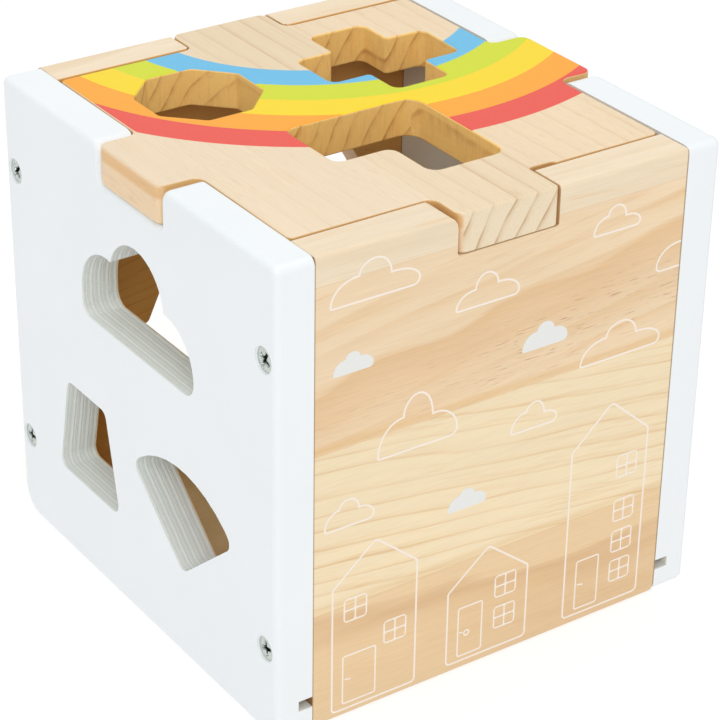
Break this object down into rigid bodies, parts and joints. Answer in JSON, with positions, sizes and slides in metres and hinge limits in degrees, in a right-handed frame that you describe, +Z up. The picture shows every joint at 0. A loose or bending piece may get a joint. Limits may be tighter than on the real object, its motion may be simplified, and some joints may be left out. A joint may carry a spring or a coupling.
{
  "type": "shape sorter",
  "caption": "Wooden cube shape sorter with shaped holes in its lid, sides and back, a lift-off lid notched into the walls, and loose wooden blocks that match the holes.",
  "frame": {"origin": "middle of the square footprint, on the surface the cube stands on", "axes": "+Z up, -Y towards the printed front wall, -X towards the painted wall with the cloud hole"},
  "size_m": [0.15, 0.15, 0.15],
  "materials": {
    "white_paint": "satin white paint over plywood",
    "pine": "sanded pine under clear matt lacquer, with a thin white print on the front and a rainbow on the lid",
    "plywood": "bare sanded plywood",
    "zinc": "bright zinc plate",
    "red_paint": "satin paint on wood",
    "orange_paint": "satin paint on wood",
    "yellow_paint": "satin paint on wood",
    "green_paint": "satin paint on wood",
    "blue_paint": "satin paint on wood"
  },
  "bodies": {
    "case": {"left_wall": "white_paint", "right_wall": "white_paint", "front_wall": "pine", "back_wall": "pine", "floor_board": "plywood", "screw_left_front_lower": "zinc", "screw_left_front_upper": "zinc", "screw_left_back_lower": "zinc", "screw_left_back_upper": "zinc", "screw_right_front_lower": "zinc", "screw_right_front_upper": "zinc", "screw_right_back_lower": "zinc", "screw_right_back_upper": "zinc"},
    "lid": {"lid": "pine"},
    "cloud": {"cloud_block": "blue_paint"},
    "wedge": {"wedge_block": "red_paint"},
    "half_disc": {"half_disc_block": "orange_paint"},
    "trapezoid": {"trapezoid_block": "green_paint"},
    "ell": {"ell_block": "yellow_paint"},
    "octagon": {"octagon_block": "orange_paint"},
    "plus": {"plus_block": "red_paint"},
    "triangle": {"triangle_block": "blue_paint"},
    "circle": {"circle_block": "green_paint"},
    "square": {"square_block": "yellow_paint"},
    "star": {"star_block": "yellow_paint"},
    "hexagon": {"hexagon_block": "green_paint"}
  },
  "joints": [
    {"name": "lid_lift", "type": "slide", "parent": "case", "child": "lid", "axis": [0, 0, 1], "range_m": [0, 0.08]},
    {"name": "cloud_lift", "type": "slide", "parent": "case", "child": "cloud", "axis": [0, 0, 1], "range_m": [0, 0.04]},
    {"name": "wedge_lift", "type": "slide", "parent": "cloud", "child": "wedge", "axis": [0, 0, 1], "range_m": [0, 0.042]},
    {"name": "half_disc_lift", "type": "slide", "parent": "case", "child": "half_disc", "axis": [0, 0, 1], "range_m": [0, 0.04]},
    {"name": "trapezoid_lift", "type": "slide", "parent": "half_disc", "child": "trapezoid", "axis": [0, 0, 1], "range_m": [0, 0.042]},
    {"name": "ell_lift", "type": "slide", "parent": "case", "child": "ell", "axis": [0, 0, 1], "range_m": [0, 0.04]},
    {"name": "octagon_lift", "type": "slide", "parent": "ell", "child": "octagon", "axis": [0, 0, 1], "range_m": [0, 0.042]},
    {"name": "plus_lift", "type": "slide", "parent": "case", "child": "plus", "axis": [0, 0, 1], "range_m": [0, 0.04]},
    {"name": "triangle_lift", "type": "slide", "parent": "plus", "child": "triangle", "axis": [0, 0, 1], "range_m": [0, 0.042]},
    {"name": "circle_lift", "type": "slide", "parent": "case", "child": "circle", "axis": [0, 0, 1], "range_m": [0, 0.04]},
    {"name": "square_lift", "type": "slide", "parent": "circle", "child": "square", "axis": [0, 0, 1], "range_m": [0, 0.042]},
    {"name": "star_lift", "type": "slide", "parent": "case", "child": "star", "axis": [0, 0, 1], "range_m": [0, 0.04]},
    {"name": "hexagon_lift", "type": "slide", "parent": "star", "child": "hexagon", "axis": [0, 0, 1], "range_m": [0, 0.042]}
  ]
}
